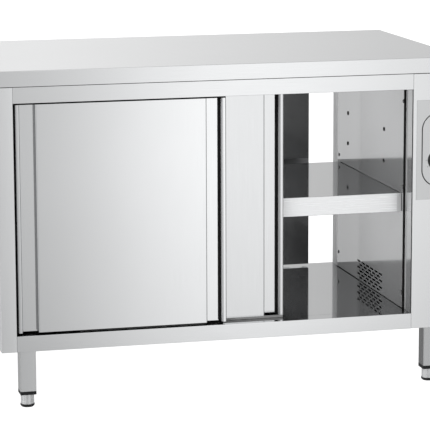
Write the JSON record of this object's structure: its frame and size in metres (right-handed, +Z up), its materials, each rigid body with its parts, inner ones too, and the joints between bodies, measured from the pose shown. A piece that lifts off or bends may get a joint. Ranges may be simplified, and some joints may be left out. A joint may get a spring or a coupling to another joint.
{
  "type": "plate warmer cabinet",
  "caption": "Stainless plate warmer cabinet: pass-through cupboard with sliding doors front and rear, a lift-out shelf, a fan heater and controls at its end, on adjustable feet.",
  "frame": {"origin": "on the floor, under the middle of the cabinet, with the feet screwed in", "axes": "+X along the width towards the control compartment, -Y towards the front doors, +Z up"},
  "size_m": [1.2, 0.742, 0.85],
  "materials": {
    "brushed_sheet": "brushed stainless sheet",
    "polished_sheet": "bright annealed stainless sheet, almost a mirror",
    "door_sheet": "fine polished stainless sheet",
    "liner_sheet": "plain stainless sheet",
    "mineral_wool": "matt fibre slab",
    "track_aluminium": "plain extruded",
    "black_rubber": "matt",
    "zinc_steel": "zinc plated",
    "foot_steel": "turned and fluted",
    "black_plastic": "matt moulded",
    "white_nylon": "moulded nylon",
    "knob_plastic": "satin moulded",
    "rocker_red": "glossy moulded",
    "lamp_lens": "clear tinted",
    "pale_plastic": "matt moulded",
    "heater_sheath": "heat tinted tube",
    "cable_black": "matt"
  },
  "bodies": {
    "cabinet": {"worktop": "brushed_sheet", "left_side_panel": "brushed_sheet", "right_side_panel": "brushed_sheet", "front_top_rail": "brushed_sheet", "rear_top_rail": "brushed_sheet", "front_sill": "brushed_sheet", "rear_sill": "brushed_sheet", "control_front_panel": "brushed_sheet", "control_rear_panel": "brushed_sheet", "bottom_panel": "brushed_sheet", "inner_floor": "polished_sheet", "inner_ceiling": "polished_sheet", "left_inner_wall": "polished_sheet", "right_inner_wall": "polished_sheet", "insulation": "mineral_wool", "door_tracks": "track_aluminium", "door_stops_and_guides": "black_rubber", "wall_screws": "zinc_steel", "shelf_clips": "zinc_steel", "legs": "brushed_sheet", "leg_inserts": "black_plastic", "control_plate": "brushed_sheet", "control_bezel": "brushed_sheet", "thermostat_body": "pale_plastic", "rocker_housing": "knob_plastic", "indicator_lamp": "lamp_lens", "heater_element": "heater_sheath", "fan_housing": "zinc_steel", "fan_motor": "zinc_steel", "terminal_block": "pale_plastic", "wiring": "cable_black", "cable_gland": "cable_black"},
    "front_left_door": {"front_left_door": "door_sheet", "front_left_door_liner": "liner_sheet"},
    "front_left_roller_a": {"front_left_roller_a": "white_nylon"},
    "front_left_roller_b": {"front_left_roller_b": "white_nylon"},
    "front_right_door": {"front_right_door": "door_sheet", "front_right_door_liner": "liner_sheet"},
    "front_right_roller_a": {"front_right_roller_a": "white_nylon"},
    "front_right_roller_b": {"front_right_roller_b": "white_nylon"},
    "rear_left_door": {"rear_left_door": "door_sheet", "rear_left_door_liner": "liner_sheet"},
    "rear_left_roller_a": {"rear_left_roller_a": "white_nylon"},
    "rear_left_roller_b": {"rear_left_roller_b": "white_nylon"},
    "rear_right_door": {"rear_right_door": "door_sheet", "rear_right_door_liner": "liner_sheet"},
    "rear_right_roller_a": {"rear_right_roller_a": "white_nylon"},
    "rear_right_roller_b": {"rear_right_roller_b": "white_nylon"},
    "shelf": {"shelf": "polished_sheet"},
    "thermostat_knob": {"thermostat_knob": "knob_plastic"},
    "rocker_button": {"rocker_button": "rocker_red"},
    "fan_wheel": {"fan_wheel": "zinc_steel"},
    "foot_front_left": {"foot_front_left": "foot_steel", "pad_front_left": "black_plastic"},
    "foot_front_right": {"foot_front_right": "foot_steel", "pad_front_right": "black_plastic"},
    "foot_rear_left": {"foot_rear_left": "foot_steel", "pad_rear_left": "black_plastic"},
    "foot_rear_right": {"foot_rear_right": "foot_steel", "pad_rear_right": "black_plastic"}
  },
  "joints": [
    {"name": "front_left_door_slide", "type": "slide", "parent": "cabinet", "child": "front_left_door", "axis": [1, 0, 0], "range_m": [0, 0.482]},
    {"name": "front_left_roller_a_spin", "type": "hinge", "parent": "front_left_door", "child": "front_left_roller_a", "pos_m": [-0.494, -0.3197, 0.7908], "axis": [0, 1, 0], "continuous": true},
    {"name": "front_left_roller_b_spin", "type": "hinge", "parent": "front_left_door", "child": "front_left_roller_b", "pos_m": [-0.083, -0.3197, 0.7908], "axis": [0, 1, 0], "continuous": true},
    {"name": "front_right_door_slide", "type": "slide", "parent": "cabinet", "child": "front_right_door", "axis": [1, 0, 0], "range_m": [-0.1585, 0.3235]},
    {"name": "front_right_roller_a_spin", "type": "hinge", "parent": "front_right_door", "child": "front_right_roller_a", "pos_m": [-0.3355, -0.2847, 0.7908], "axis": [0, 1, 0], "continuous": true},
    {"name": "front_right_roller_b_spin", "type": "hinge", "parent": "front_right_door", "child": "front_right_roller_b", "pos_m": [0.0755, -0.2847, 0.7908], "axis": [0, 1, 0], "continuous": true},
    {"name": "rear_left_door_slide", "type": "slide", "parent": "cabinet", "child": "rear_left_door", "axis": [1, 0, 0], "range_m": [0, 0.482]},
    {"name": "rear_left_roller_a_spin", "type": "hinge", "parent": "rear_left_door", "child": "rear_left_roller_a", "pos_m": [-0.494, 0.2847, 0.7908], "axis": [0, 1, 0], "continuous": true},
    {"name": "rear_left_roller_b_spin", "type": "hinge", "parent": "rear_left_door", "child": "rear_left_roller_b", "pos_m": [-0.083, 0.2847, 0.7908], "axis": [0, 1, 0], "continuous": true},
    {"name": "rear_right_door_slide", "type": "slide", "parent": "cabinet", "child": "rear_right_door", "axis": [1, 0, 0], "range_m": [-0.407, 0.075]},
    {"name": "rear_right_roller_a_spin", "type": "hinge", "parent": "rear_right_door", "child": "rear_right_roller_a", "pos_m": [-0.087, 0.3197, 0.7908], "axis": [0, 1, 0], "continuous": true},
    {"name": "rear_right_roller_b_spin", "type": "hinge", "parent": "rear_right_door", "child": "rear_right_roller_b", "pos_m": [0.324, 0.3197, 0.7908], "axis": [0, 1, 0], "continuous": true},
    {"name": "shelf_lift", "type": "slide", "parent": "cabinet", "child": "shelf", "axis": [0, 0, 1], "range_m": [0, 0.1]},
    {"name": "thermostat_turn", "type": "hinge", "parent": "cabinet", "child": "thermostat_knob", "pos_m": [0.5325, -0.36, 0.5865], "axis": [0, 1, 0], "range_deg": [0, 270]},
    {"name": "switch_rock", "type": "hinge", "parent": "cabinet", "child": "rocker_button", "pos_m": [0.5325, -0.35, 0.66], "axis": [-1, 0, 0], "range_deg": [0, 16]},
    {"name": "fan_spin", "type": "hinge", "parent": "cabinet", "child": "fan_wheel", "pos_m": [0.5215, -0.008, 0.241], "axis": [0, 1, 0], "continuous": true},
    {"name": "front_left_foot_adjust", "type": "slide", "parent": "cabinet", "child": "foot_front_left", "axis": [0, 0, -1], "range_m": [0, 0.045]},
    {"name": "front_right_foot_adjust", "type": "slide", "parent": "cabinet", "child": "foot_front_right", "axis": [0, 0, -1], "range_m": [0, 0.045]},
    {"name": "rear_left_foot_adjust", "type": "slide", "parent": "cabinet", "child": "foot_rear_left", "axis": [0, 0, -1], "range_m": [0, 0.045]},
    {"name": "rear_right_foot_adjust", "type": "slide", "parent": "cabinet", "child": "foot_rear_right", "axis": [0, 0, -1], "range_m": [0, 0.045]}
  ],
  "couplings": [
    {"joint": "front_left_roller_a_spin", "follows": "front_left_door_slide", "rad_per_m": 133.33},
    {"joint": "front_left_roller_b_spin", "follows": "front_left_door_slide", "rad_per_m": 133.33},
    {"joint": "front_right_roller_a_spin", "follows": "front_right_door_slide", "rad_per_m": 133.33},
    {"joint": "front_right_roller_b_spin", "follows": "front_right_door_slide", "rad_per_m": 133.33},
    {"joint": "rear_left_roller_a_spin", "follows": "rear_left_door_slide", "rad_per_m": 133.33},
    {"joint": "rear_left_roller_b_spin", "follows": "rear_left_door_slide", "rad_per_m": 133.33},
    {"joint": "rear_right_roller_a_spin", "follows": "rear_right_door_slide", "rad_per_m": 133.33},
    {"joint": "rear_right_roller_b_spin", "follows": "rear_right_door_slide", "rad_per_m": 133.33}
  ]
}
